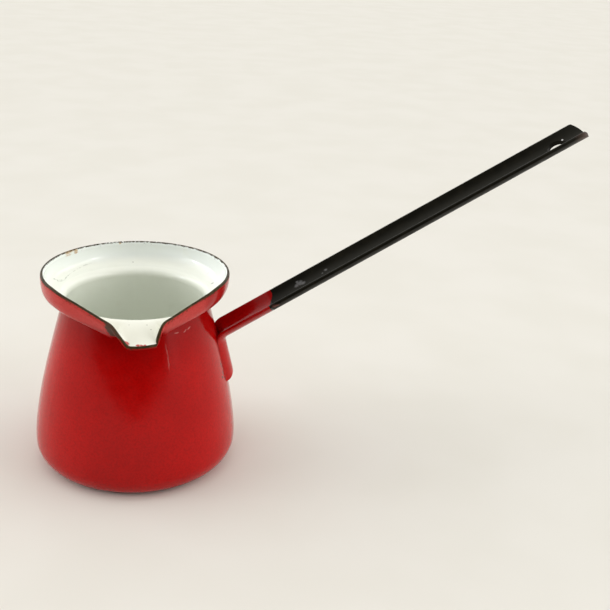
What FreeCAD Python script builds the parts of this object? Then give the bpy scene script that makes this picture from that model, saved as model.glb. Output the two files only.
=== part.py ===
import FreeCAD, Part
import math
import os

os.makedirs("parts", exist_ok=True)

Vec = FreeCAD.Vector

# Long-handled coffee pot of enamelled steel. Millimetres, +Z up, the pot's axis is Z and the
# origin is the centre of its underside. The handle leaves along +X, the spout faces -Y.

# Layers of the wall, from the outside in
coat = 0.25                 # one fired coat of enamel
sheet = 0.8                 # steel of the pot
strip = 1.0                 # steel of the handle

# Outer outline of the pot
belly_r = 40.0              # widest radius
corner_r = 9.4              # rounding between underside and wall
neck_r = 28.2               # narrowest radius, under the collar
neck_z = 67.6               # height of that place
neck_lean = 15.0            # the wall's lean inwards at the neck, degrees
neck_fillet = 1.5           # turn from the wall into the collar
belly_pull = 16.0           # how far the belly keeps upright
neck_pull = 20.0            # how far the neck keeps its lean
base_coat_turn = 20.0       # how far the underside's coat climbs the corner, degrees

# Collar: a shallow cup with an upright rim
rim_r = 36.2
rim_z = 78.9                # end of the sheet
rim_tilt = 0.35             # the rim stands that much higher on the handle's side
shelf_rise = 5.0            # slope of the collar where it leaves the neck, degrees
shelf_pull = 4.7            # how far it keeps that slope
rim_lean = 92.0             # direction of the rim, degrees from level
rim_pull = 6.85             # how far the rim keeps that direction
rim_press = 1.65            # the collar is pressed that much flatter on the handle's side
rim_band = 0.5              # height of the dark edge below the sheet's end
rim_bead = 0.74             # height of the dark edge over the sheet's end

# Spout: the rim sinks in a wide vee, then in a narrow notch where the wall folds out to a lip.
# Angles are in degrees from the spout's middle.
vee_from = 60.0
vee_to = 14.0
vee_ease = 1.35             # how softly the vee begins
vee_drop = 5.6
vee_fold = 18.0
vee_pull = 5.65
notch_from = 14.6
notch_to = 6.2
notch_skew = 3.2            # the lip lies that much to the handle's side
notch_drop = 7.4
notch_fold = 94.0
notch_pull = 7.6
beak_from = 43.0            # where the beak's straight sides leave the round rim
lip_reach = 44.8            # distance of the lip from the axis
lip_sharp = 24.0            # how squarely the lip's corners turn

# Handle: a strip bent to a gutter, its hollow side up, its lower end welded to the wall
gutter_r = 9.6              # outer radius of the gutter
gutter_half = 52.4          # half of its opening angle, degrees
edge_bead = 0.5             # coat on the strip's edges
handle_rise = 31.1          # slope of the handle, degrees
handle_low = 30.75          # height at which the handle's back would cross the pot's axis
handle_tip = 175.6          # x of the middle of the handle's end, at its back
bend_r = 2.0                # inside radius of the bend
tab_low = 34.8              # height of the welded end
tab_high = 51.0             # height up to which it follows the wall
tab_bite = 0.75             # how much the edges are ground to the wall's round
tab_round = 2.0             # rounding of its lower corner
tip_round = 5.0             # rounding of the tip's corners, from the strip's edges on
hole_r = 4.2                # hanging hole, finished
hole_from_tip = 11.6
red_length = 22.9           # red part of the handle, from the bend's corner

# Fineness of the pot's rings
around = 72                 # points on a ring
spout_share = 0.35          # their spacing at the spout, as a share of an even one
base_steps = 2
corner_steps = 7
wall_steps = 10
fillet_steps = 6
collar_steps = 12
collar_ease = 1.4           # rings of the collar crowd towards the neck
bead_steps = 6
probe = 1e-4                # small step along the outline that gives its direction
probe_turn = 0.01           # the same around the axis, degrees
halvings = 40               # of an interval, to find the wall at a height

# Raw runs and cutting blocks go past the piece that they make or cut
overrun = 5.0
block = 400.0


def smooth(x):
    x = min(max(x, 0.0), 1.0)
    return x * x * (3.0 - 2.0 * x)


def heading(degrees):
    a = math.radians(degrees)
    return math.cos(a), math.sin(a)


def bezier(p, t):
    k = (1.0 - t) ** 3, 3.0 * t * (1.0 - t) ** 2, 3.0 * t * t * (1.0 - t), t ** 3
    return sum(a * q[0] for a, q in zip(k, p)), sum(a * q[1] for a, q in zip(k, p))


# Places on the outer outline that the stations share
lean_c, lean_s = heading(neck_lean)
fillet_mid = neck_r + neck_fillet * lean_c, neck_z + neck_fillet * lean_s
shelf_c, shelf_s = heading(shelf_rise)
shelf_at = fillet_mid[0] - neck_fillet * shelf_s, fillet_mid[1] + neck_fillet * shelf_c
shelf_to = shelf_at[0] + shelf_pull * shelf_c, shelf_at[1] + shelf_pull * shelf_s
wall_curve = [
    (belly_r, corner_r),
    (belly_r, corner_r + belly_pull),
    (neck_r + neck_pull * lean_s, neck_z - neck_pull * lean_c),
    (neck_r, neck_z),
]


def collar_curve(turn):
    """Outline of the collar; turn is the signed angle from the spout in degrees."""
    off = abs(turn)
    inner = notch_to + math.copysign(notch_skew, turn)
    vee = min(max((vee_from - off) / (vee_from - vee_to), 0.0), 1.0) ** vee_ease
    notch = smooth((notch_from - off) / (notch_from - inner))
    tilt = math.sin(math.radians(turn))
    beak = rim_r / math.cos(math.radians(max(beak_from - off, 0.0)))
    lip = lip_reach / math.cos(math.radians(min(off, beak_from)))
    r = (beak ** -lip_sharp + lip ** -lip_sharp) ** (-1.0 / lip_sharp)
    z = rim_z + rim_tilt * tilt - vee_drop * vee - notch_drop * notch
    c, s = heading(rim_lean - vee_fold * vee - notch_fold * notch)
    pull = rim_pull - rim_press * tilt + vee_pull * vee - notch_pull * notch
    return [shelf_at, shelf_to, (r - pull * c, z - pull * s), (r, z)]


def outline(u, turn):
    """Radius and height on the outer skin: 0 to 1 corner, 1 to 2 wall, 2 to 3 neck, 3 to 4 collar."""
    if u <= 1.0:
        a = math.radians(90.0 * u)
        return belly_r - corner_r + corner_r * math.sin(a), corner_r - corner_r * math.cos(a)
    if u <= 2.0:
        return bezier(wall_curve, u - 1.0)
    if u <= 3.0:
        c, s = heading(180.0 + neck_lean - (90.0 + neck_lean - shelf_rise) * (u - 2.0))
        return fillet_mid[0] + neck_fillet * c, fillet_mid[1] + neck_fillet * s
    return bezier(collar_curve(turn), u - 3.0)


def place(u, turn):
    """Point of the outer skin."""
    r, z = outline(u, turn)
    a = math.radians(turn - 90.0)
    return Vec(r * math.cos(a), r * math.sin(a), z)


def point(u, turn, inward, beyond=0.0):
    """Point under the outer skin by `inward`, moved past the ring by `beyond` along the sheet."""
    low = max(u - probe, 0.0)
    high = min(u + probe, 4.0)
    along = (place(high, turn) - place(low, turn)).normalize()
    across = (place(u, turn + probe_turn) - place(u, turn - probe_turn)).normalize()
    normal = along.cross(across).normalize()
    return place(u, turn) + normal * inward + along * beyond


# Angles of the ring's points, closer together at the spout
shares = [2.0 * i / around - 1.0 for i in range(around + 1)]
turns = [180.0 * x * (spout_share + (1.0 - spout_share) * x * x) for x in shares]

# Stations of the rings along the outline, closer together towards the neck
base_at = base_coat_turn / 90.0
band_at = 4.0 - rim_band / (3.0 * rim_pull)
stations = [base_at * i / base_steps for i in range(base_steps)]
stations += [base_at + (1.0 - base_at) * i / corner_steps for i in range(corner_steps)]
stations += [2.0 - (1.0 - i / wall_steps) ** 2 for i in range(wall_steps)]
stations += [2.0 + i / fillet_steps for i in range(fillet_steps)]
stations += [3.0 + (band_at - 3.0) * (i / collar_steps) ** collar_ease for i in range(collar_steps)]
stations += [band_at, 4.0]


def run_lengths(points):
    total = [0.0]
    for a, b in zip(points, points[1:]):
        total.append(total[-1] + math.dist(a, b))
    return total


lengths = run_lengths([outline(u, 90.0) for u in stations])
mark_at = dict(zip(stations, lengths))
base_mark = mark_at[base_at]
belly_mark = mark_at[1.0]
neck_mark = mark_at[2.0]
shelf_mark = mark_at[3.0]
band_mark = mark_at[band_at]
end_mark = mark_at[4.0]
seams = [base_mark, belly_mark, neck_mark, shelf_mark, band_mark]


def surface(rings, marks):
    """Smooth skin through closed rings of points; marks are the rings' parameters."""
    rows = []
    for ring in rings:
        c = Part.BSplineCurve()
        c.interpolate(Points=ring, PeriodicFlag=True, Parameters=shares)
        rows.append(c)
    columns = []
    for j in range(rows[0].NbPoles):
        c = Part.BSplineCurve()
        c.interpolate(Points=[row.getPole(j + 1) for row in rows], Parameters=marks)
        columns.append(c)
    poles = [[c.getPole(i + 1) for c in columns] for i in range(columns[0].NbPoles)]
    s = Part.BSplineSurface()
    s.buildFromPolesMultsKnots(
        poles,
        columns[0].getMultiplicities(),
        rows[0].getMultiplicities(),
        columns[0].getKnots(),
        rows[0].getKnots(),
        False,
        True,
        columns[0].Degree,
        3,
    )
    s.setVNotPeriodic()
    return s


def skin(inward):
    return surface([[point(u, a, inward) for a in turns[:-1]] for u in stations], lengths)


# Every skin is cut into sectors at the spout's middle, at the ends of its vee and at the back
quarter = min(range(around), key=lambda i: abs(turns[i] + vee_from))
cuts = [shares[i] for i in (0, quarter, around // 2, around - quarter, around)]


def arcs(s, mark):
    """A skin's ring at one mark, in sectors."""
    out = []
    for low, high in zip(cuts, cuts[1:]):
        c = s.uIso(mark)
        c.segment(low, high)
        out.append(c)
    return out


def disc(s, mark=0.0):
    return [Part.Face(Part.Wire([c.toShape() for c in arcs(s, mark)]))]


def band(s, start, end):
    """Faces of a skin from one mark to another."""
    steps = [start] + [m for m in seams if start < m < end] + [end]
    out = []
    for a, b in zip(steps, steps[1:]):
        for low, high in zip(cuts, cuts[1:]):
            piece = s.copy()
            piece.segment(a, b, low, high)
            out.append(piece.toShape())
    return out


def strip_between(rings, others):
    """Straight strip from ring to ring, in sectors."""
    out = []
    for p, q in zip(rings, others):
        s = Part.BSplineSurface()
        s.buildFromPolesMultsKnots(
            [p.getPoles(), q.getPoles()],
            [2, 2],
            p.getMultiplicities(),
            [0.0, 1.0],
            p.getKnots(),
            False,
            False,
            1,
            3,
        )
        out.append(s.toShape())
    return out


def between(a, b, mark):
    return strip_between(arcs(a, mark), arcs(b, mark))


def solid(groups):
    shell = Part.makeShell([face for group in groups for face in group])
    shell.sewShape()
    body = Part.makeSolid(shell)
    if body.Volume < 0.0:
        body.reverse()
    return body


red_skin = skin(0.0)
steel_out = skin(coat)
steel_in = skin(coat + sheet)
white_skin = skin(coat + sheet + coat)

pot_steel = solid([
    disc(steel_out),
    band(steel_out, 0.0, end_mark),
    between(steel_out, steel_in, end_mark),
    band(steel_in, 0.0, end_mark),
    disc(steel_in),
])
base_enamel = solid([
    disc(red_skin),
    band(red_skin, 0.0, base_mark),
    between(red_skin, steel_out, base_mark),
    band(steel_out, 0.0, base_mark),
    disc(steel_out),
])
outer_enamel = solid([
    between(red_skin, steel_out, base_mark),
    band(red_skin, base_mark, band_mark),
    between(red_skin, steel_out, band_mark),
    band(steel_out, base_mark, band_mark),
])
inner_enamel = solid([
    disc(steel_in),
    band(steel_in, 0.0, band_mark),
    between(steel_in, white_skin, band_mark),
    band(white_skin, 0.0, band_mark),
    disc(white_skin),
])

# The dark edge folds over the end of the sheet as a round bead
half = 0.5 * sheet + coat
bead_turns = [math.pi * i / bead_steps for i in range(bead_steps + 1)]
bead_lengths = run_lengths([(half * math.cos(b), rim_bead * math.sin(b)) for b in bead_turns])
bead = surface(
    [
        [
            point(4.0, a, half - half * math.cos(b), rim_bead * math.sin(b))
            for a in turns[:-1]
        ]
        for b in bead_turns
    ],
    bead_lengths,
)
bead_rings = [arcs(bead, mark) for mark in bead_lengths]
rim_enamel = solid([
    band(red_skin, band_mark, end_mark),
    *[strip_between(a, b) for a, b in zip(bead_rings, bead_rings[1:])],
    band(white_skin, band_mark, end_mark),
    between(white_skin, steel_in, band_mark),
    band(steel_in, band_mark, end_mark),
    between(steel_in, steel_out, end_mark),
    band(steel_out, band_mark, end_mark),
    between(steel_out, red_skin, band_mark),
])


def plug(s):
    """Everything inside a skin, up to the neck."""
    return solid([disc(s), band(s, 0.0, neck_mark), disc(s, neck_mark)])


def wall_radius(z):
    low, high = 0.0, 1.0
    for _ in range(halvings):
        mid = 0.5 * (low + high)
        if bezier(wall_curve, mid)[1] < z:
            low = mid
        else:
            high = mid
    return bezier(wall_curve, low)[0]


# Directions of the handle: along it, and towards its hollow side
side = Vec(0, 1, 0)
rise_c, rise_s = heading(handle_rise)
run_dir = Vec(rise_c, 0, rise_s)
run_up = Vec(-rise_s, 0, rise_c)

# The welded end follows the chord of the steel wall under the strip's edges
edge_mid = (gutter_r - 0.5 * strip) * math.sin(math.radians(gutter_half))
chord_low = math.sqrt((wall_radius(tab_low) - coat) ** 2 - edge_mid ** 2)
chord_high = math.sqrt((wall_radius(tab_high) - coat) ** 2 - edge_mid ** 2)
tab_dir = Vec(chord_high - chord_low, 0, tab_high - tab_low).normalize()
tab_up = Vec(-tab_dir.z, 0, tab_dir.x)
edge_height = gutter_r - (gutter_r - strip) * math.cos(math.radians(gutter_half))
tab_at = Vec(chord_low, 0, tab_low) - tab_up * (edge_height - tab_bite)

# Corner where the backs of both runs would meet, and the bend that rounds it
run_at = Vec(0, 0, handle_low)
reach = (run_at - tab_at).dot(run_up) / tab_dir.dot(run_up)
corner = tab_at + tab_dir * reach
bend_turn = math.degrees(math.acos(tab_dir.dot(run_dir)))
setback = bend_r * math.tan(math.radians(0.5 * bend_turn))
bend_mid = corner - tab_dir * setback - tab_up * bend_r
run_length = (handle_tip - corner.x) / run_dir.x


def gutter(at, up, grow):
    """Section of the strip with its back at a point; grow is the thickness of the coat on it."""
    mid = at + up * gutter_r

    def spot(r, degrees):
        a = math.radians(degrees)
        return mid - up * (r * math.cos(a)) + side * (r * math.sin(a))

    out = gutter_r + grow
    inn = gutter_r - strip - grow
    end = gutter_half + math.degrees((edge_bead if grow else 0.0) / (gutter_r - 0.5 * strip))
    between_r = 0.5 * (out + inn)
    edges = [
        Part.Arc(spot(out, -gutter_half), spot(out, 0), spot(out, gutter_half)).toShape(),
        Part.Arc(spot(inn, -gutter_half), spot(inn, 0), spot(inn, gutter_half)).toShape(),
    ]
    for s in (-1, 1):
        a, b = spot(out, s * gutter_half), spot(inn, s * gutter_half)
        if grow:
            edges.append(Part.Arc(a, spot(between_r, s * end), b).toShape())
        else:
            edges.append(Part.makeLine(a, b))
    return Part.Face(Part.Wire(Part.__sortEdges__(edges)))


def end_block(at, out_dir, across, half_width, radius):
    """Long block that ends at a point with two rounded corners."""
    back = out_dir * -block
    a = at + across * half_width
    b = at - across * half_width
    c = 1.0 - math.sqrt(0.5)
    edges = [
        Part.makeLine(a + back, a - out_dir * radius),
        Part.Arc(a - out_dir * radius, a - (out_dir + across) * (radius * c), a - across * radius).toShape(),
        Part.makeLine(a - across * radius, b + across * radius),
        Part.Arc(b + across * radius, b + (across - out_dir) * (radius * c), b - out_dir * radius).toShape(),
        Part.makeLine(b - out_dir * radius, b + back),
        Part.makeLine(b + back, a + back),
    ]
    normal = out_dir.cross(across).normalize() * block
    face = Part.Face(Part.Wire(edges))
    face.translate(normal * -0.5)
    return face.extrude(normal)


def bent_strip(grow):
    """The bent strip, or the same with its coat."""
    low_end = gutter(corner - tab_dir * setback, tab_up, grow)
    high_end = gutter(corner + run_dir * setback, run_up, grow)
    tab = low_end.extrude(tab_dir * -(reach + overrun))
    deep = gutter_r + overrun
    foot = tab_at - tab_dir * grow + tab_up * (deep - grow)
    tab = tab.common(end_block(foot, tab_dir * -1.0, tab_up, deep, tab_round + grow))
    bend = low_end.revolve(bend_mid, side, bend_turn)
    run = high_end.extrude(run_dir * (run_length + overrun))
    wide = gutter_r * math.sin(math.radians(gutter_half)) + grow
    tip = corner + run_dir * (run_length + grow)
    run = run.common(end_block(tip, run_dir, side, wide, tip_round + grow))
    drill_at = corner + run_dir * (run_length - hole_from_tip) - run_up * gutter_r
    drill = Part.makeCylinder(hole_r + coat - grow, 2.0 * gutter_r, drill_at, run_up)
    whole = tab.fuse([bend, run]).removeSplitter()
    return whole.cut(drill)


bare = bent_strip(0.0)
coated = bent_strip(coat)
handle_steel = bare.cut(plug(steel_out))
handle_coat = coated.cut(bare).cut(plug(red_skin))
split = corner + run_dir * red_length
outer_half = Part.makeBox(block, block, block)
outer_half.translate(Vec(0, -0.5 * block, -0.5 * block))
outer_half.rotate(Vec(0, 0, 0), side, -handle_rise)
outer_half.translate(split)
handle_black = handle_coat.common(outer_half)
handle_red = handle_coat.cut(outer_half)
outer_enamel = outer_enamel.cut(bare)

for name, body in (
    ("pot_steel", pot_steel),
    ("base_enamel", base_enamel),
    ("outer_enamel", outer_enamel),
    ("inner_enamel", inner_enamel),
    ("rim_enamel", rim_enamel),
    ("handle_steel", handle_steel),
    ("handle_red_enamel", handle_red),
    ("handle_black_enamel", handle_black),
):
    print(name, len(body.Solids), body.isValid(), round(body.Volume, 1))
    body.exportStep("parts/" + name + ".step")
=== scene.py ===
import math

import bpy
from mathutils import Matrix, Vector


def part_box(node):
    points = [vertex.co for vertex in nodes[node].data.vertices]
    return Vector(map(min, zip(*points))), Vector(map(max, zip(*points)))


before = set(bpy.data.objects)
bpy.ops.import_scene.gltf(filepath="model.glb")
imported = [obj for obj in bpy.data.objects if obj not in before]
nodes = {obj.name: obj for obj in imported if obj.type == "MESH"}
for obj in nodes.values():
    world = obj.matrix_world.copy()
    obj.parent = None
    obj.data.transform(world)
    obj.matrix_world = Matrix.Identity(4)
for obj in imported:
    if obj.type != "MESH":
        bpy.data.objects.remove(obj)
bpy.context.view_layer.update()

# %% [markdown]
# An enamelled coffee pot, dressed for its portrait. The shapes come from the frame: a drawn
# steel pot, a bent strip for a handle, and the coats of glass that were fired onto both. The
# coats already have their true thickness there, so nothing has to be modelled twice, and this
# lesson is about finishes: glossy red outside, white inside, a dark edge and a black handle,
# each with the marks that years on a stove leave.

mm = 0.001
for name in sorted(nodes):
    low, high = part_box(name)
    print(name, [round(x / mm, 1) for x in high - low], "mm")

# %% [markdown]
# The camera stands where the photo was taken from: in front of the spout, a little above the
# pot, with a slight tilt of the picture. It could be set by eye, but its place and its three
# turns were found by fitting the pot's outline, so that every mark can be compared with the
# photo. The lens follows from the distance at which the outline fits.

# %% Where the camera looks
camera_at = Vector((0.0, -0.37018, 0.214116))
camera_yaw = 0.180
camera_pitch = 0.378
camera_roll = 0.064

forward = Vector((
    math.sin(camera_yaw) * math.cos(camera_pitch),
    math.cos(camera_yaw) * math.cos(camera_pitch),
    -math.sin(camera_pitch),
))
level = Vector((math.cos(camera_yaw), -math.sin(camera_yaw), 0.0))
upright = level.cross(forward)
right = math.cos(camera_roll) * level + math.sin(camera_roll) * upright
up = math.cos(camera_roll) * upright - math.sin(camera_roll) * level
print("camera looks along", [round(x, 3) for x in forward])

# %% Camera
focal_pixels = 1000.0
picture_pixels = 610.0
sensor_mm = 36.0
nearest = 0.01

bpy.ops.object.camera_add()
camera = bpy.context.object
camera.name = "portrait_camera"
camera.data.sensor_width = sensor_mm
camera.data.lens = sensor_mm * focal_pixels / picture_pixels
camera.data.clip_start = nearest
turn = Matrix((right, up, -forward)).transposed()
camera.matrix_world = Matrix.Translation(camera_at) @ turn.to_4x4()
bpy.context.scene.camera = camera
print("lens", round(camera.data.lens, 1), "mm")

# %% [markdown]
# The pot stands on a plain pale floor. A backdrop with a bent edge could hide the horizon, but
# one plane does as well here: it is so large that it meets the pale wall of the room far away.

# %% Floor
floor_half = 12.0


def on_stage(name):
    """Names the newest object and settles its place."""
    thing = bpy.context.object
    thing.name = name
    bpy.ops.object.transform_apply(location=True, rotation=True, scale=True)
    print(name, [round(x, 2) for x in thing.dimensions], "m")
    return thing


bpy.ops.object.select_all(action="DESELECT")
bpy.ops.mesh.primitive_plane_add(size=2.0 * floor_half)
floor = on_stage("floor")

# %% [markdown]
# Glossy enamel mirrors what lies before it. The deep red vee below the spout is such a mirror
# image: it is narrow at the belly and wide at the neck, which leans back and so mirrors what is
# higher up. It could be painted on, but paint would turn with the pot, so a black card is set up
# in front instead. It starts as an open tube round the pot, and four planes cut it: one leaves
# only the front, one slopes the top down towards the ends, and two lift the foot towards both
# sides. Only mirrored rays meet the card. The camera doesn't see it, and it takes no light from
# the floor, so other views stay clean.

# %% Black card
straight_up = Vector((0.0, 0.0, 1.0))
card_radius = 0.55
card_height = 0.70
card_faces = 96
card_side = Vector((-0.208, -0.978, 0.0))
ends_ahead = 0.30
ends_height = 0.07
card_ends = ends_ahead * card_side + ends_height * straight_up
card_slope = 1.5
foot_left = 0.167
foot_right = 0.23
foot_drop = 0.105
mirror_height = 0.045
card_foot = (mirror_height - foot_drop * card_radius) * straight_up

bpy.ops.object.select_all(action="DESELECT")
bpy.ops.mesh.primitive_cylinder_add(
    vertices=card_faces, radius=card_radius, depth=card_height, end_fill_type="NOTHING",
    location=(0.0, 0.0, 0.5 * card_height),
)
card = on_stage("black_card")
bpy.ops.object.mode_set(mode="EDIT")
for through, cut in (
    (card_ends, -card_side),
    (card_ends, straight_up - card_slope * card_side),
    (card_foot, Vector((-foot_left, 0.0, -1.0))),
    (card_foot, Vector((foot_right, 0.0, -1.0))),
):
    bpy.ops.mesh.select_all(action="SELECT")
    bpy.ops.mesh.bisect(plane_co=through, plane_no=cut, clear_outer=True)
bpy.ops.object.mode_set(mode="OBJECT")
card.visible_camera = False
card.visible_diffuse = False
card.visible_shadow = False
print("card keeps", len(card.data.polygons), "faces")

# %% [markdown]
# Windows light the pot from the left and from the front on the right. The room alone would give
# soft light, but small lamps leave the glints that tell glass from paint, so two of them stand in
# for the windows. A narrow spread keeps their light on the pot, and no bright pool forms on the
# floor below them.

# %% Lamps
lamp_spread = 1.05
pot_middle = Vector((0.0, 0.0, 0.05))


def window_lamp(name, at, size, power, colour):
    bpy.ops.object.light_add(type="AREA", location=at)
    lamp = bpy.context.object
    lamp.name = name
    lamp.data.shape = "RECTANGLE"
    lamp.data.size, lamp.data.size_y = size
    lamp.data.spread = lamp_spread
    lamp.data.energy = power
    lamp.data.color = colour
    lamp.rotation_mode = "QUATERNION"
    lamp.rotation_quaternion = (pot_middle - Vector(at)).to_track_quat("-Z", "Y")
    lamp.visible_camera = False
    print(name, power, "W")


window_lamp("left_window", (-1.22, -0.05, 0.36), (0.20, 0.14), 0.14, (0.93, 0.97, 1.0))
window_lamp("right_window", (0.89, -0.64, 0.34), (0.16, 0.14), 0.066, (1.0, 0.98, 0.95))
bpy.context.scene.view_settings.view_transform = "Standard"

# %% [markdown]
# Every finish is a small tree of nodes. The trees could be clicked together by hand, but the same
# steps come again and again, so short words for them make a finish read like a recipe: add a
# node, reckon with values, spread a value smoothly between two limits, mix two colours, read a
# noise.

# %% Words for nodes
def fill(tree, socket, value):
    """Links another socket, sets a plain value, and leaves the socket alone for None."""
    if isinstance(value, bpy.types.NodeSocket):
        tree.links.new(value, socket)
    elif value is not None:
        socket.default_value = value


def add(tree, kind, *values, **settings):
    """Adds a node whose sockets are filled in order."""
    made = tree.nodes.new("ShaderNode" + kind)
    for key, value in settings.items():
        setattr(made, key, value)
    for socket, value in zip(made.inputs, values):
        fill(tree, socket, value)
    return made


def reckon(tree, step, *values):
    return add(tree, "Math", *values, operation=step).outputs[0]


def times(tree, first, second):
    return reckon(tree, "MULTIPLY", first, second)


def any_of(tree, masks):
    """The strongest of several masks."""
    total = masks[0]
    for mask in masks[1:]:
        total = reckon(tree, "MAXIMUM", total, mask)
    return total


def parts_of(tree, vector):
    return add(tree, "SeparateXYZ", vector).outputs


def along(tree, vector, direction):
    return add(tree, "VectorMath", vector, direction, operation="DOT_PRODUCT").outputs["Value"]


print("words for reckoning are ready")

# %% More words for nodes
def spread(tree, value, low, high, start=0.0, end=1.0):
    """Smooth step from start to end while value goes from low to high."""
    made = add(tree, "MapRange", value, low, high, start, end, interpolation_type="SMOOTHSTEP")
    return made.outputs[0]


def blend(tree, share, first, second):
    """Colour between two colours."""
    made = add(tree, "Mix", data_type="RGBA")
    sockets = (made.inputs[0], made.inputs[6], made.inputs[7])
    for socket, value in zip(sockets, (share, first, second)):
        fill(tree, socket, value)
    return made.outputs[2]


def grain(tree, place, size_mm, detail=2.0):
    """Noise whose blots are about that large, from 0 to 1."""
    return add(tree, "TexNoise", place, None, 1.0 / (size_mm * mm), detail).outputs[0]


def rgb(red, green, blue):
    return (red, green, blue, 1.0)


print("words for colours are ready")

# %% [markdown]
# The room gives most of the light. A picture of a real room could do that, but a few smooth
# fields are easier to tune: dim near the floor and bright overhead. They light the whole floor
# alike, so it stays even up to the horizon. Beyond it the camera sees a plain pale wall, and no
# light has to be added for a pale background. Mirrored rays meet that wall too, wherever the next
# two steps lay no window and no shade over it.

# %% Room
room_low = rgb(0.34, 0.34, 0.33)
room_high = rgb(1.15, 1.13, 1.10)
pale_wall = rgb(0.78, 0.76, 0.70)
front_lean = 0.30
overhead = (0.35, 1.00)

room = bpy.data.worlds.new("room")
room.use_nodes = True
tree = room.node_tree
gaze = add(tree, "TexCoord").outputs["Generated"]
look = parts_of(tree, gaze)
lifted = reckon(tree, "MULTIPLY_ADD", look["Y"], -front_lean, look["Z"])
bright = blend(tree, spread(tree, lifted, *overhead), room_low, room_high)

seen = add(tree, "LightPath").outputs
unseen = reckon(tree, "SUBTRACT", 1.0, seen["Is Camera Ray"])
wall = any_of(tree, [seen["Is Camera Ray"], seen["Is Glossy Ray"], seen["Is Transmission Ray"]])
bright = blend(tree, wall, bright, pale_wall)
print("room so far", len(tree.nodes), "nodes")

# %% [markdown]
# The windows are broad bright fields at the left and the right, towards which the flanks of the
# pot look. The left one reaches further back, and a dimmer field lies behind the pot. More lamps
# could do this, but lamps this broad would light the floor unevenly. The fields begin above a
# sill, and the two at the sides fade higher up, which leaves more of their light to the flanks.
# The camera doesn't see them: it meets the plain wall.

# %% Windows
left_sky = rgb(3.40, 3.42, 3.45)
right_sky = rgb(3.20, 3.18, 3.14)
rear_sky = rgb(1.30, 1.30, 1.28)
sill = (0.02, 0.20)
side_edge = (0.55, 0.90)
rear_edge = (0.45, 0.90)
left_to_right = (-0.1, 0.1)
left_reach, right_reach = 0.4, -0.1
fade = (0.25, 0.70)
faded = 0.45

above_sill = times(tree, spread(tree, look["Z"], *sill), unseen)
sky = blend(tree, spread(tree, look["X"], *left_to_right), left_sky, right_sky)
reach = spread(tree, look["X"], *left_to_right, left_reach, right_reach)
reach = times(tree, look["Y"], reach)
aside = reckon(tree, "ADD", reckon(tree, "ABSOLUTE", look["X"]), reach)
aside = times(tree, spread(tree, aside, *side_edge), spread(tree, look["Z"], *fade, 1.0, faded))
bright = blend(tree, times(tree, aside, above_sill), bright, sky)
rear = times(tree, spread(tree, look["Y"], *rear_edge), above_sill)
bright = blend(tree, rear, bright, rear_sky)
print("with windows", len(tree.nodes), "nodes")

# %% [markdown]
# In front the room is dark, in about the outline of the card. The card itself casts no shade,
# because that would leave a dark streak on the floor. This field takes light away from the front
# of the pot in its place, and from the whole floor alike.

# %% Shade in front
shade_black = rgb(0.015, 0.015, 0.015)
shade_drop = 0.61
shade_edge = (0.05, 0.25)
foot_blur = 0.015

ahead = along(tree, gaze, card_side)
flat = reckon(tree, "SUBTRACT", 1.0, times(tree, look["Z"], look["Z"]))
flat = reckon(tree, "SQRT", flat)
under = reckon(tree, "MULTIPLY_ADD", flat, -shade_drop, times(tree, ahead, card_slope))
under = reckon(tree, "SUBTRACT", under, look["Z"])
over_left = reckon(tree, "MULTIPLY_ADD", look["X"], foot_left, look["Z"])
over_right = reckon(tree, "MULTIPLY_ADD", look["X"], -foot_right, look["Z"])
over = reckon(tree, "MINIMUM", over_left, over_right)
over = spread(tree, over, -foot_drop - foot_blur, -foot_drop + foot_blur)
shade = times(tree, times(tree, spread(tree, under, *shade_edge), over), unseen)
bright = blend(tree, shade, bright, shade_black)
fill(tree, tree.nodes["Background"].inputs["Color"], bright)
fill(tree, tree.nodes["Background"].inputs["Strength"], 1.0)
bpy.context.scene.world = room
print("whole room", len(tree.nodes), "nodes")

# %% [markdown]
# All patterns read Object coordinates. The pieces sit at the origin, unturned, so these
# coordinates are the place on the pot in metres, and a mark can be put where the photo shows it.
# An image could carry the marks too, but it would need a flat map of every piece.

# %% Words for finishes
def start_finish(name):
    """An empty finish: its material, its tree, its shader and the place on the piece."""
    finish = bpy.data.materials.new(name)
    finish.use_nodes = True
    tree = finish.node_tree
    tree.nodes.clear()
    shader = tree.nodes.new("ShaderNodeBsdfPrincipled")
    output = tree.nodes.new("ShaderNodeOutputMaterial")
    tree.links.new(shader.outputs[0], output.inputs[0])
    place = add(tree, "TexCoord").outputs["Object"]
    return finish, tree, shader, place


def glaze(tree, shader, place, swell_mm, swell, pit):
    """Orange-peel swell and fine pits of fired glass."""
    pit_mm = 0.5
    wave = times(tree, grain(tree, place, swell_mm, 1.0), swell)
    fine = times(tree, grain(tree, place, pit_mm, 1.0), pit)
    bump = add(tree, "Bump", 1.0, mm)
    fill(tree, bump.inputs["Height"], reckon(tree, "ADD", wave, fine))
    fill(tree, shader.inputs["Normal"], bump.outputs[0])


def dress(name, finish):
    """Puts a finish on a CAD node."""
    for slot in nodes[name].material_slots:
        slot.material = finish
    print(name, "wears", finish.name, "with", len(finish.node_tree.nodes), "nodes")


print("words for finishes are ready")

# %% [markdown]
# Marks are single spots: a chip, a speck, a scratch. Each is an ellipsoid round a point of the
# pot, measured in millimetres, and a wobble of the coordinates makes its edge ragged. A stroke is
# the same thing drawn out between two points, and a trail is a row of strokes. A noise could
# scatter marks over the pot, but it couldn't put one where the real chip is.

# %% Words for marks
stroke_reach = 0.55
stroke_edge = 0.6


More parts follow.
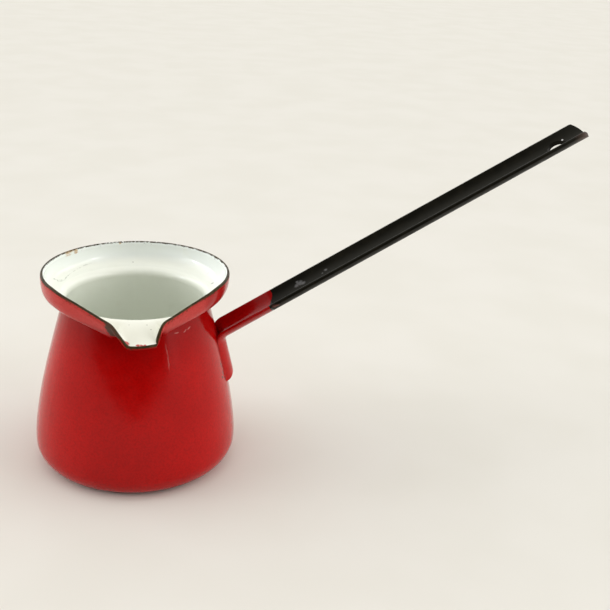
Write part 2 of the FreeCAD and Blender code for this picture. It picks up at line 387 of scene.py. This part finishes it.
def wobble(tree, place, size_mm, amount_mm):
    """The place, shaken by a noise."""
    noise = add(tree, "TexNoise", place, None, 1.0 / (size_mm * mm), 2.0).outputs[1]
    shake = add(tree, "VectorMath", noise, (0.5, 0.5, 0.5), operation="SUBTRACT").outputs[0]
    made = add(tree, "VectorMath", shake, operation="SCALE")
    made.inputs["Scale"].default_value = 2.0 * amount_mm * mm
    return add(tree, "VectorMath", place, made.outputs[0], operation="ADD").outputs[0]


def spot(tree, place, at, size, turn=(0.0, 0.0, 0.0), edge=0.35):
    """1 inside an ellipsoid of these half sizes, 0 outside."""
    middle = [x * mm for x in at]
    halves = [x * mm for x in size]
    inside = add(tree, "Mapping", place, middle, turn, halves, vector_type="TEXTURE").outputs[0]
    far = add(tree, "VectorMath", inside, operation="LENGTH").outputs["Value"]
    return spread(tree, far, 1.0 + edge, 1.0 - edge)


def stroke(tree, place, start, end, half_width):
    """1 along a line between two points."""
    start, end = Vector(start), Vector(end)
    turn = (end - start).to_track_quat("X", "Z").to_euler()
    size = (stroke_reach * (end - start).length, half_width, half_width)
    return spot(tree, place, 0.5 * (start + end), size, turn, stroke_edge)


def trail(tree, place, points, half_width):
    """1 along a line through several points."""
    return any_of(tree, [stroke(tree, place, a, b, half_width) for a, b in zip(points, points[1:])])


print("words for marks are ready")

# %% [markdown]
# Red enamel is glass, coloured through. Its depth of colour is a little uneven, and fine dark
# specks dust it all over. Painted shade darkens it towards the neck, under the collar, and a
# painted sheen makes the collar's outer face a paler pink, less on its right part. One flat red
# would do from afar, but these four changes keep it alive close by. The dark edge and the
# handle's border show the same red, so the colour is a function of its own.

# %% Red colour
red_deep = rgb(0.400, 0.0013, 0.0011)
red_full = rgb(0.470, 0.0024, 0.0020)
red_neck_shade = rgb(0.300, 0.0009, 0.0008)
sheen_pink = rgb(0.500, 0.0390, 0.0340)
red_speck = rgb(0.200, 0.0008, 0.0007)
neck_shade_from, neck_shade_to = 48.0 * mm, 66.0 * mm
collar_from, collar_to = 69.0 * mm, 71.5 * mm
sheen_fade_from, sheen_fade_to = 27.0 * mm, 24.0 * mm


def red_colour(tree, place):
    at = parts_of(tree, place)
    cloud = spread(tree, grain(tree, place, 20.0), 0.2, 0.8)
    coat = blend(tree, cloud, red_deep, red_full)
    # Painted shade: the red darkens towards the neck, where the collar shades it.
    coat = blend(tree, spread(tree, at["Z"], neck_shade_from, neck_shade_to, 0.0, 0.8), coat, red_neck_shade)
    # Painted sheen: the collar's outer face turns a paler pink, less so on its right part.
    collar_sheen = spread(tree, at["X"], sheen_fade_from, sheen_fade_to, 0.25, 1.0)
    collar_sheen = times(tree, collar_sheen, spread(tree, at["Z"], collar_from, collar_to))
    coat = blend(tree, collar_sheen, coat, sheen_pink)
    speck = spread(tree, grain(tree, place, 0.8, 3.0), 0.35, 0.75, 0.0, 0.45)
    speck = times(tree, speck, spread(tree, collar_sheen, 0.0, 1.0, 1.0, 0.5))
    return blend(tree, speck, coat, red_speck)


print("red mixed from", [red_deep[0], red_full[0], red_neck_shade[0], sheen_pink[0]])

# %% [markdown]
# The handle was dipped in black over the red, and the border runs slantwise across the gutter.
# The two coats meet there in the frame with a straight edge. Colouring across that edge, on both
# pieces alike, gives the ragged slant of a dipped coat.

# %% Border on the handle
black_coat = rgb(0.0046, 0.0042, 0.0023)
handle_slope = math.radians(31.1)
handle_dir = (math.cos(handle_slope), 0.0, math.sin(handle_slope))
border_near, border_far = 78.9 * mm, 81.5 * mm
slant_from, slant_to = 1.0 * mm, 6.0 * mm
border_half = 0.15 * mm


def past_border(tree, place):
    """1 on the black side of the border between the handle's two coats, 0 on the red side."""
    reached = along(tree, wobble(tree, place, 0.8, 0.25), handle_dir)
    across = parts_of(tree, place)["Y"]
    border = spread(tree, across, slant_from, slant_to, border_near, border_far)
    return spread(tree, reckon(tree, "SUBTRACT", reached, border), -border_half, border_half)


print("border from", round(border_near / mm, 1), "to", round(border_far / mm, 1), "mm along")

# %% [markdown]
# Now the red coat itself. A few pale scratches sit on the neck, and one long faint one runs down
# from there. At the spout's left corner the glass has chipped off down to the brown. Such marks
# could be cut into the mesh, but they are hardly deeper than the coat, so colour is enough.

# %% Scratches and chips of the red coat
pale_scratch = rgb(0.62, 0.30, 0.27)
chip_brown = rgb(0.070, 0.038, 0.025)

red_enamel, tree, shader, place = start_finish("red_enamel_glaze")
ragged = wobble(tree, place, 1.5, 0.35)
colour = red_colour(tree, place)
scratches = any_of(tree, [
    stroke(tree, ragged, (17.6, -23.4, 63.4), (18.5, -22.6, 63.9), 0.20),
    stroke(tree, ragged, (19.0, -22.1, 63.9), (20.1, -21.0, 64.5), 0.22),
    stroke(tree, ragged, (14.2, -25.5, 63.8), (15.4, -24.8, 63.8), 0.18),
])
colour = blend(tree, times(tree, scratches, 0.5), colour, pale_scratch)
long_scratch = any_of(tree, [
    stroke(tree, ragged, (10.7, -28.3, 59.9), (11.6, -29.1, 56.1), 0.20),
    stroke(tree, ragged, (11.6, -29.1, 56.1), (12.1, -30.3, 51.3), 0.24),
])
colour = blend(tree, times(tree, long_scratch, 0.22), colour, pale_scratch)
chips = any_of(tree, [
    spot(tree, ragged, (-10.2, -39.6, 72.4), (1.3, 1.4, 1.3)),
    spot(tree, ragged, (-9.2, -39.9, 71.0), (1.6, 1.7, 1.5)),
    spot(tree, ragged, (-8.3, -40.2, 69.6), (1.6, 2.0, 1.4)),
    spot(tree, ragged, (-7.0, -41.6, 68.6), (1.4, 1.8, 1.2)),
])
colour = blend(tree, chips, colour, chip_brown)
print("red coat so far", len(tree.nodes), "nodes")

# %% [markdown]
# Where the handle's welded end meets the wall, painted shade darkens the gap between them, with a
# few dark chips along it. Two soft strokes paint the shade, and small ragged ones make the chips.

# %% Marks at the welded end
shade_red = rgb(0.200, 0.0010, 0.0010)
chip_dark = rgb(0.040, 0.012, 0.009)

# Painted shade: two soft strokes darken the gap between the welded end and the wall.
shaded_gap = any_of(tree, [
    stroke(tree, place, (31.6, -8.2, 53.0), (33.2, -8.3, 45.8), 0.7),
    stroke(tree, place, (33.2, -8.3, 45.8), (34.7, -8.3, 38.6), 0.6),
])
colour = blend(tree, times(tree, shaded_gap, 0.8), colour, shade_red)
weld_chips = any_of(tree, [
    stroke(tree, ragged, (32.9, -9.8, 44.6), (33.4, -10.1, 42.0), 0.40),
    stroke(tree, ragged, (33.8, -9.9, 40.6), (34.3, -9.8, 38.6), 0.50),
    spot(tree, ragged, (33.8, -11.5, 38.5), (0.6, 0.7, 0.6)),
    spot(tree, ragged, (35.1, -8.8, 36.7), (0.7, 0.8, 0.7)),
])
colour = blend(tree, weld_chips, colour, chip_dark)
colour = blend(tree, past_border(tree, place), colour, black_coat)
print("with the welded end", len(tree.nodes), "nodes")

# %% [markdown]
# The red is glossy but no perfect mirror: fired glass swells a little, like orange peel, and
# scratches and chips are dull. The mirror is kept weak, because a strong one would lay a pale
# veil over the deep red.

# %% Gloss of the red coat
dull = spread(tree, grain(tree, place, 6.0, 3.0), 0.3, 0.8, 0.13, 0.22)
dull = reckon(tree, "ADD", dull, times(tree, any_of(tree, [scratches, chips]), 0.4))
fill(tree, shader.inputs["Base Color"], colour)
fill(tree, shader.inputs["Roughness"], dull)
shader.inputs["Specular IOR Level"].default_value = 0.19
glaze(tree, shader, place, 4.0, 0.05, 0.004)
dress("outer_enamel", red_enamel)
dress("handle_red_enamel", red_enamel)

# %% [markdown]
# The white coat inside is a milky glass with a hint of green. It is creamy near the spout, a
# little warm on the shelf and in the belly, and cleanest close to the rim. One white would look
# new, so the height and the distance from the spout set these zones apart, and a noise bends the
# borders that follow the height.

# %% White colour
white_clean = rgb(0.88, 0.92, 0.88)
white_cream = rgb(0.83, 0.83, 0.72)
white_shelf = rgb(0.88, 0.90, 0.81)
white_belly = rgb(0.89, 0.92, 0.83)
spout_from, spout_to = -28.0 * mm, -12.0 * mm
clean_from, clean_to = 72.5 * mm, 76.5 * mm
belly_from, belly_to = 70.5 * mm, 64.0 * mm
zone_wave = 3.0 * mm


def white_colour(tree, place):
    at = parts_of(tree, place)
    level = reckon(tree, "ADD", at["Z"], times(tree, grain(tree, place, 9.0), zone_wave))
    coat = blend(tree, spread(tree, at["Y"], spout_from, spout_to), white_cream, white_shelf)
    coat = blend(tree, spread(tree, level, clean_from, clean_to), coat, white_clean)
    coat = blend(tree, spread(tree, level, belly_from, belly_to), coat, white_belly)
    stain = spread(tree, grain(tree, place, 5.0, 4.0), 0.55, 0.80, 0.0, 0.25)
    return blend(tree, stain, coat, white_cream)


print("white from", white_clean[:3], "to", white_cream[:3])

# %% [markdown]
# Near the rim, rust has bled through at two places, and hairline cracks run along the collar's
# shelf. A solid line would look drawn on, so a noise breaks the cracks up.

# %% Rust and cracks of the white coat
rust = rgb(0.50, 0.28, 0.075)
grey_crack = rgb(0.25, 0.27, 0.20)

white_enamel, tree, shader, place = start_finish("white_enamel_glaze")
ragged = wobble(tree, place, 1.2, 0.5)
fine_line = wobble(tree, place, 1.3, 0.45)
colour = white_colour(tree, place)
stains = any_of(tree, [
    spot(tree, ragged, (-27.1, 22.0, 78.5), (1.4, 1.6, 0.9), edge=0.7),
    spot(tree, ragged, (-24.2, 25.2, 78.2), (0.8, 0.8, 0.5), edge=0.7),
])
colour = blend(tree, times(tree, stains, 0.9), colour, rust)
crack_start = [(-32.2, 10.3, 71.9), (-30.9, 11.2, 71.4), (-29.5, 11.3, 71.0), (-28.2, 12.1, 70.9)]
crack_middle = [(-28.2, 12.1, 70.9), (-27.5, 15.0, 71.0), (-26.8, 17.2, 71.1)]
crack_branch = [(-30.9, 11.2, 71.4), (-30.3, 10.1, 71.1), (-28.8, 10.3, 70.9)]
crack_end = [
    (-26.8, 17.2, 71.1), (-25.3, 20.4, 71.3), (-24.0, 22.5, 71.5), (-21.9, 25.3, 71.9),
    (-18.3, 28.4, 72.3),
]
crack = any_of(tree, [
    trail(tree, fine_line, crack_start, 0.22),
    trail(tree, fine_line, crack_middle, 0.26),
    trail(tree, fine_line, crack_branch, 0.18),
    stroke(tree, fine_line, (28.8, 15.6, 72.2), (29.6, 16.9, 74.2), 0.24),
    times(tree, trail(tree, fine_line, crack_end, 0.20), 0.35),
])
broken = spread(tree, grain(tree, place, 1.3, 2.0), 0.38, 0.60, 0.05, 0.75)
colour = blend(tree, times(tree, crack, broken), colour, grey_crack)
print("white coat so far", len(tree.nodes), "nodes")

# %% [markdown]
# A few brown specks mark the shelf and the spout, and at the lip small runs of the red coat
# reach over the edge. There are so few that each gets its own spot.

# %% Specks and red runs of the white coat
speck_brown = rgb(0.10, 0.08, 0.05)

specks = any_of(tree, [
    spot(tree, place, (-1.3, 32.2, 71.4), (0.25, 0.4, 0.25)),
    spot(tree, ragged, (30.3, 7.6, 71.2), (0.6, 0.6, 0.5)),
    spot(tree, place, (3.8, -33.4, 70.6), (0.25, 0.35, 0.2)),
    spot(tree, place, (5.2, -36.0, 69.9), (0.25, 0.35, 0.2)),
    spot(tree, place, (-2.6, -33.3, 70.6), (0.2, 0.3, 0.2)),
])
colour = blend(tree, times(tree, specks, 0.45), colour, speck_brown)
red_runs = any_of(tree, [
    spot(tree, ragged, (0.4, -44.3, 67.4), (0.8, 0.5, 0.5)),
    spot(tree, ragged, (1.8, -44.3, 67.4), (0.7, 0.45, 0.5)),
    spot(tree, ragged, (2.9, -44.2, 67.3), (0.6, 0.4, 0.5)),
    spot(tree, ragged, (-3.6, -43.5, 67.7), (1.1, 1.2, 1.3)),
])
colour = blend(tree, times(tree, red_runs, 0.9), colour, red_full)
print("with specks", len(tree.nodes), "nodes")

# %% [markdown]
# The white is the smoothest glass on the pot, so it keeps crisp glints, and the rust is duller.

# %% Gloss of the white coat
dull = spread(tree, grain(tree, place, 5.0, 3.0), 0.3, 0.8, 0.02, 0.06)
dull = reckon(tree, "ADD", dull, times(tree, stains, 0.3))
fill(tree, shader.inputs["Base Color"], colour)
fill(tree, shader.inputs["Roughness"], dull)
shader.inputs["IOR"].default_value = 1.52
glaze(tree, shader, place, 5.0, 0.04, 0.002)
dress("inner_enamel", white_enamel)

# %% [markdown]
# The rim is dipped in a dark edge coat. It is the first place to wear: it thins out towards the
# white on its inner side and towards the red on its outer side, each with a ragged line. Which
# side a point lies on could be read from its place, but the bead is round, so the direction that
# its surface faces tells it better.

# %% Dark edge
edge_dark = rgb(0.030, 0.020, 0.007)
edge_brown = rgb(0.060, 0.040, 0.016)
back_from, back_to = -8.0 * mm, 15.0 * mm

rim_coat, tree, shader, place = start_finish("dark_edge_coat")
ragged = wobble(tree, place, 1.2, 0.5)
at = parts_of(tree, place)
axis_out = add(tree, "VectorMath", place, (1.0, 1.0, 0.0), operation="MULTIPLY").outputs[0]
axis_out = add(tree, "VectorMath", axis_out, operation="NORMALIZE").outputs[0]
facing = add(tree, "NewGeometry").outputs["Normal"]
facing_up = parts_of(tree, facing)["Z"]
outward = along(tree, facing, axis_out)
colour = blend(tree, spread(tree, grain(tree, place, 2.5, 3.0), 0.4, 0.7), edge_dark, edge_brown)

tear = spread(tree, grain(tree, place, 1.2, 3.0), 0.2, 0.8, -0.15, 0.15)
back = spread(tree, at["Y"], back_from, back_to)
torn = reckon(tree, "MULTIPLY_ADD", back, 0.34, reckon(tree, "ADD", outward, tear))
inside = spread(tree, torn, -0.40, -0.60)
colour = blend(tree, inside, colour, white_colour(tree, place))

thin = spread(tree, grain(tree, place, 0.6, 3.0), 0.30, 0.50)
outside = times(tree, spread(tree, facing_up, 0.24, 0.10), spread(tree, outward, 0.0, 0.2))
colour = blend(tree, times(tree, outside, thin), colour, red_colour(tree, place))
print("dark edge so far", len(tree.nodes), "nodes")

# %% [markdown]
# At the back the edge has flaked down to the white, at the spout's left corner it is bare to the
# brown, and rust has bled through it above the stains of the white coat. The flakes come from a
# noise, and the other marks are spots, because their places can be seen.

# %% Wear of the dark edge
flake_from, flake_to = 28.0 * mm, 34.0 * mm

far_back = spread(tree, at["Y"], flake_from, flake_to)
flaked = times(tree, spread(tree, grain(tree, place, 1.5, 3.0), 0.56, 0.64), far_back)
flaked = times(tree, flaked, spread(tree, outward, 0.6, 0.2))
colour = blend(tree, flaked, colour, white_colour(tree, place))
bare = any_of(tree, [
    spot(tree, ragged, (-9.8, -40.2, 73.0), (1.4, 1.4, 1.4)),
    spot(tree, ragged, (-8.4, -41.2, 71.8), (1.5, 1.5, 1.5)),
    spot(tree, ragged, (-7.1, -42.4, 70.3), (1.4, 1.4, 1.4)),
])
colour = blend(tree, bare, colour, chip_brown)
bled = any_of(tree, [
    spot(tree, ragged, (-27.2, 22.1, 79.1), (1.4, 1.5, 0.8), edge=0.7),
    spot(tree, ragged, (-26.2, 23.6, 79.3), (1.3, 1.3, 0.7), edge=0.7),
    spot(tree, ragged, (-24.2, 25.2, 78.8), (0.8, 0.8, 0.7), edge=0.7),
    spot(tree, ragged, (-6.6, 34.3, 78.9), (0.4, 0.6, 0.45), edge=0.7),
])
shown = spread(tree, inside, 0.0, 1.0, 0.22, 0.75)
colour = blend(tree, times(tree, bled, shown), colour, rust)
dull = spread(tree, grain(tree, place, 1.5, 3.0), 0.3, 0.7, 0.25, 0.5)
fill(tree, shader.inputs["Base Color"], colour)
fill(tree, shader.inputs["Roughness"], dull)
shader.inputs["Specular IOR Level"].default_value = 0.08
glaze(tree, shader, place, 1.5, 0.10, 0.02)
dress("rim_enamel", rim_coat)

# %% [markdown]
# The handle's black coat is duller than the red one: a satin glass, with rubbed patches. Where the
# surface of the gutter faces up out of its hollow, a painted highlight greys the colour. More gloss
# could grey the black too, but it would change from view to view. Towards the tip the same grey
# lies as a haze like dust.

# %% Black coat, its painted highlight and its dust
black_rubbed = rgb(0.0095, 0.0080, 0.0045)
dust_and_highlight_grey = rgb(0.0165, 0.0158, 0.0125)
hollow_up = (-math.sin(handle_slope), 0.0, math.cos(handle_slope))
dust_from, dust_to = 195.0 * mm, 225.0 * mm

black_enamel, tree, shader, place = start_finish("black_enamel_satin")
ragged = wobble(tree, place, 1.0, 0.6)
rubbed = spread(tree, grain(tree, place, 3.5, 4.0), 0.35, 0.75)
colour = blend(tree, rubbed, black_coat, black_rubbed)
facing = add(tree, "NewGeometry").outputs["Normal"]
# Painted highlight: grey where the gutter's surface faces up out of the hollow.
hollow_highlight = spread(tree, along(tree, facing, hollow_up), 0.74, 0.99, 0.0, 0.9)
colour = blend(tree, hollow_highlight, colour, dust_and_highlight_grey)
dusty = spread(tree, along(tree, place, handle_dir), dust_from, dust_to, 0.0, 0.7)
colour = blend(tree, dusty, colour, dust_and_highlight_grey)
print("black coat so far", len(tree.nodes), "nodes")

# %% [markdown]
# Near the red there is a grey scuff with a smaller one further up. The tip is worn brownish, a
# painted glint sits as a pale dot on the rim of the hole, and at the border a thin place lets a
# little pink through.

# %% Marks on the black coat
scuff_grey = rgb(0.16, 0.16, 0.16)
glint_pale = rgb(0.62, 0.62, 0.60)
tip_brown = rgb(0.075, 0.050, 0.040)
worn_pink = rgb(0.14, 0.055, 0.045)

scuffs = any_of(tree, [
    spot(tree, ragged, (65.2, 3.8, 72.7), (1.3, 1.0, 1.0), edge=0.6),
    spot(tree, ragged, (66.6, 3.1, 73.1), (1.0, 0.7, 0.8), edge=0.6),
    spot(tree, ragged, (64.0, 3.4, 71.7), (0.9, 0.8, 0.7), edge=0.6),
    spot(tree, ragged, (64.4, 4.8, 72.9), (0.6, 0.5, 0.6), edge=0.6),
    spot(tree, ragged, (75.5, 3.4, 78.6), (0.6, 0.4, 0.5), edge=0.8),
    spot(tree, ragged, (74.2, 2.7, 77.5), (0.4, 0.3, 0.3), edge=0.8),
])
colour = blend(tree, times(tree, scuffs, 0.65), colour, scuff_grey)
# Painted highlight: a small pale glint on the rim of the hanging hole.
hole_glint = spot(tree, place, (167.7, 3.1, 134.1), (0.35, 0.35, 0.35))
colour = blend(tree, hole_glint, colour, glint_pale)
tip = spot(tree, ragged, (172.6, -6.4, 137.6), (3.2, 2.4, 2.4), edge=0.8)
colour = blend(tree, tip, colour, tip_brown)
thin = stroke(tree, ragged, (53.2, -7.8, 67.2), (55.8, -7.0, 67.6), 0.7)
colour = blend(tree, times(tree, thin, 0.8), colour, worn_pink)
colour = blend(tree, past_border(tree, place), red_colour(tree, place), colour)
dull = spread(tree, grain(tree, place, 4.0, 4.0), 0.3, 0.8, 0.30, 0.46)
dull = reckon(tree, "ADD", dull, times(tree, scuffs, 0.2))
fill(tree, shader.inputs["Base Color"], colour)
fill(tree, shader.inputs["Roughness"], dull)
shader.inputs["Specular IOR Level"].default_value = 0.045
glaze(tree, shader, place, 3.0, 0.06, 0.01)
dress("handle_black_enamel", black_enamel)

# %% [markdown]
# The underside hardly shows. It wears a blue-black ground coat with pale flecks, scraped brown in
# patches as by years on a stove. Two noises are enough for a side that is seldom seen.

# %% Ground coat
ground_black = rgb(0.012, 0.013, 0.017)
ground_fleck = rgb(0.10, 0.11, 0.12)

ground_coat, tree, shader, place = start_finish("ground_coat")
flecks = spread(tree, grain(tree, place, 0.8, 1.0), 0.62, 0.70, 0.0, 0.6)
colour = blend(tree, flecks, ground_black, ground_fleck)
scraped = spread(tree, grain(tree, place, 3.0, 5.0), 0.55, 0.70, 0.0, 0.6)
colour = blend(tree, scraped, colour, edge_brown)
dull = spread(tree, grain(tree, place, 3.0, 4.0), 0.3, 0.7, 0.25, 0.6)
fill(tree, shader.inputs["Base Color"], colour)
fill(tree, shader.inputs["Roughness"], dull)
glaze(tree, shader, place, 3.0, 0.08, 0.02)
dress("base_enamel", ground_coat)

# %% [markdown]
# The steel lies under its coats and shows only when the pot is taken apart. It is sheet with a
# rolled grain, which is a noise squeezed along the height.

# %% Steel
steel_bright = rgb(0.42, 0.41, 0.40)
steel_dark = rgb(0.24, 0.20, 0.17)
squeeze = (1.0, 1.0, 12.0)

bare_steel, tree, shader, place = start_finish("bare_steel")
squeezed = add(tree, "Mapping", place, None, None, squeeze).outputs[0]
rolled = grain(tree, squeezed, 1.5, 4.0)
colour = blend(tree, spread(tree, rolled, 0.35, 0.70), steel_bright, steel_dark)
fill(tree, shader.inputs["Base Color"], colour)
fill(tree, shader.inputs["Roughness"], spread(tree, rolled, 0.3, 0.7, 0.30, 0.55))
shader.inputs["Metallic"].default_value = 1.0
glaze(tree, shader, squeezed, 1.5, 0.02, 0.01)
dress("pot_steel", bare_steel)
dress("handle_steel", bare_steel)

# %% [markdown]
# The floor is a matt, pale cream sheet with a breath of unevenness, so that the soft shadow stays
# the only thing that happens on it. The card is black felt, without any shine.

# %% Floor and card finish
floor_pale = rgb(0.71, 0.69, 0.63)
floor_paler = rgb(0.73, 0.71, 0.655)
felt_black = rgb(0.012, 0.012, 0.012)
felt_nap = rgb(0.018, 0.018, 0.018)


def lay(thing, name, blot_mm, first, second, roughness):
    """Gives a stage piece a matt finish, clouded between two colours."""
    finish, tree, shader, place = start_finish(name)
    cloud = spread(tree, grain(tree, place, blot_mm), 0.3, 0.7)
    fill(tree, shader.inputs["Base Color"], blend(tree, cloud, first, second))
    shader.inputs["Roughness"].default_value = roughness
    shader.inputs["Specular IOR Level"].default_value = 0.0
    thing.data.materials.append(finish)
    print(thing.name, "wears", finish.name)


lay(floor, "pale_floor", 60.0, floor_pale, floor_paler, 0.9)
lay(card, "black_card", 2.0, felt_black, felt_nap, 1.0)
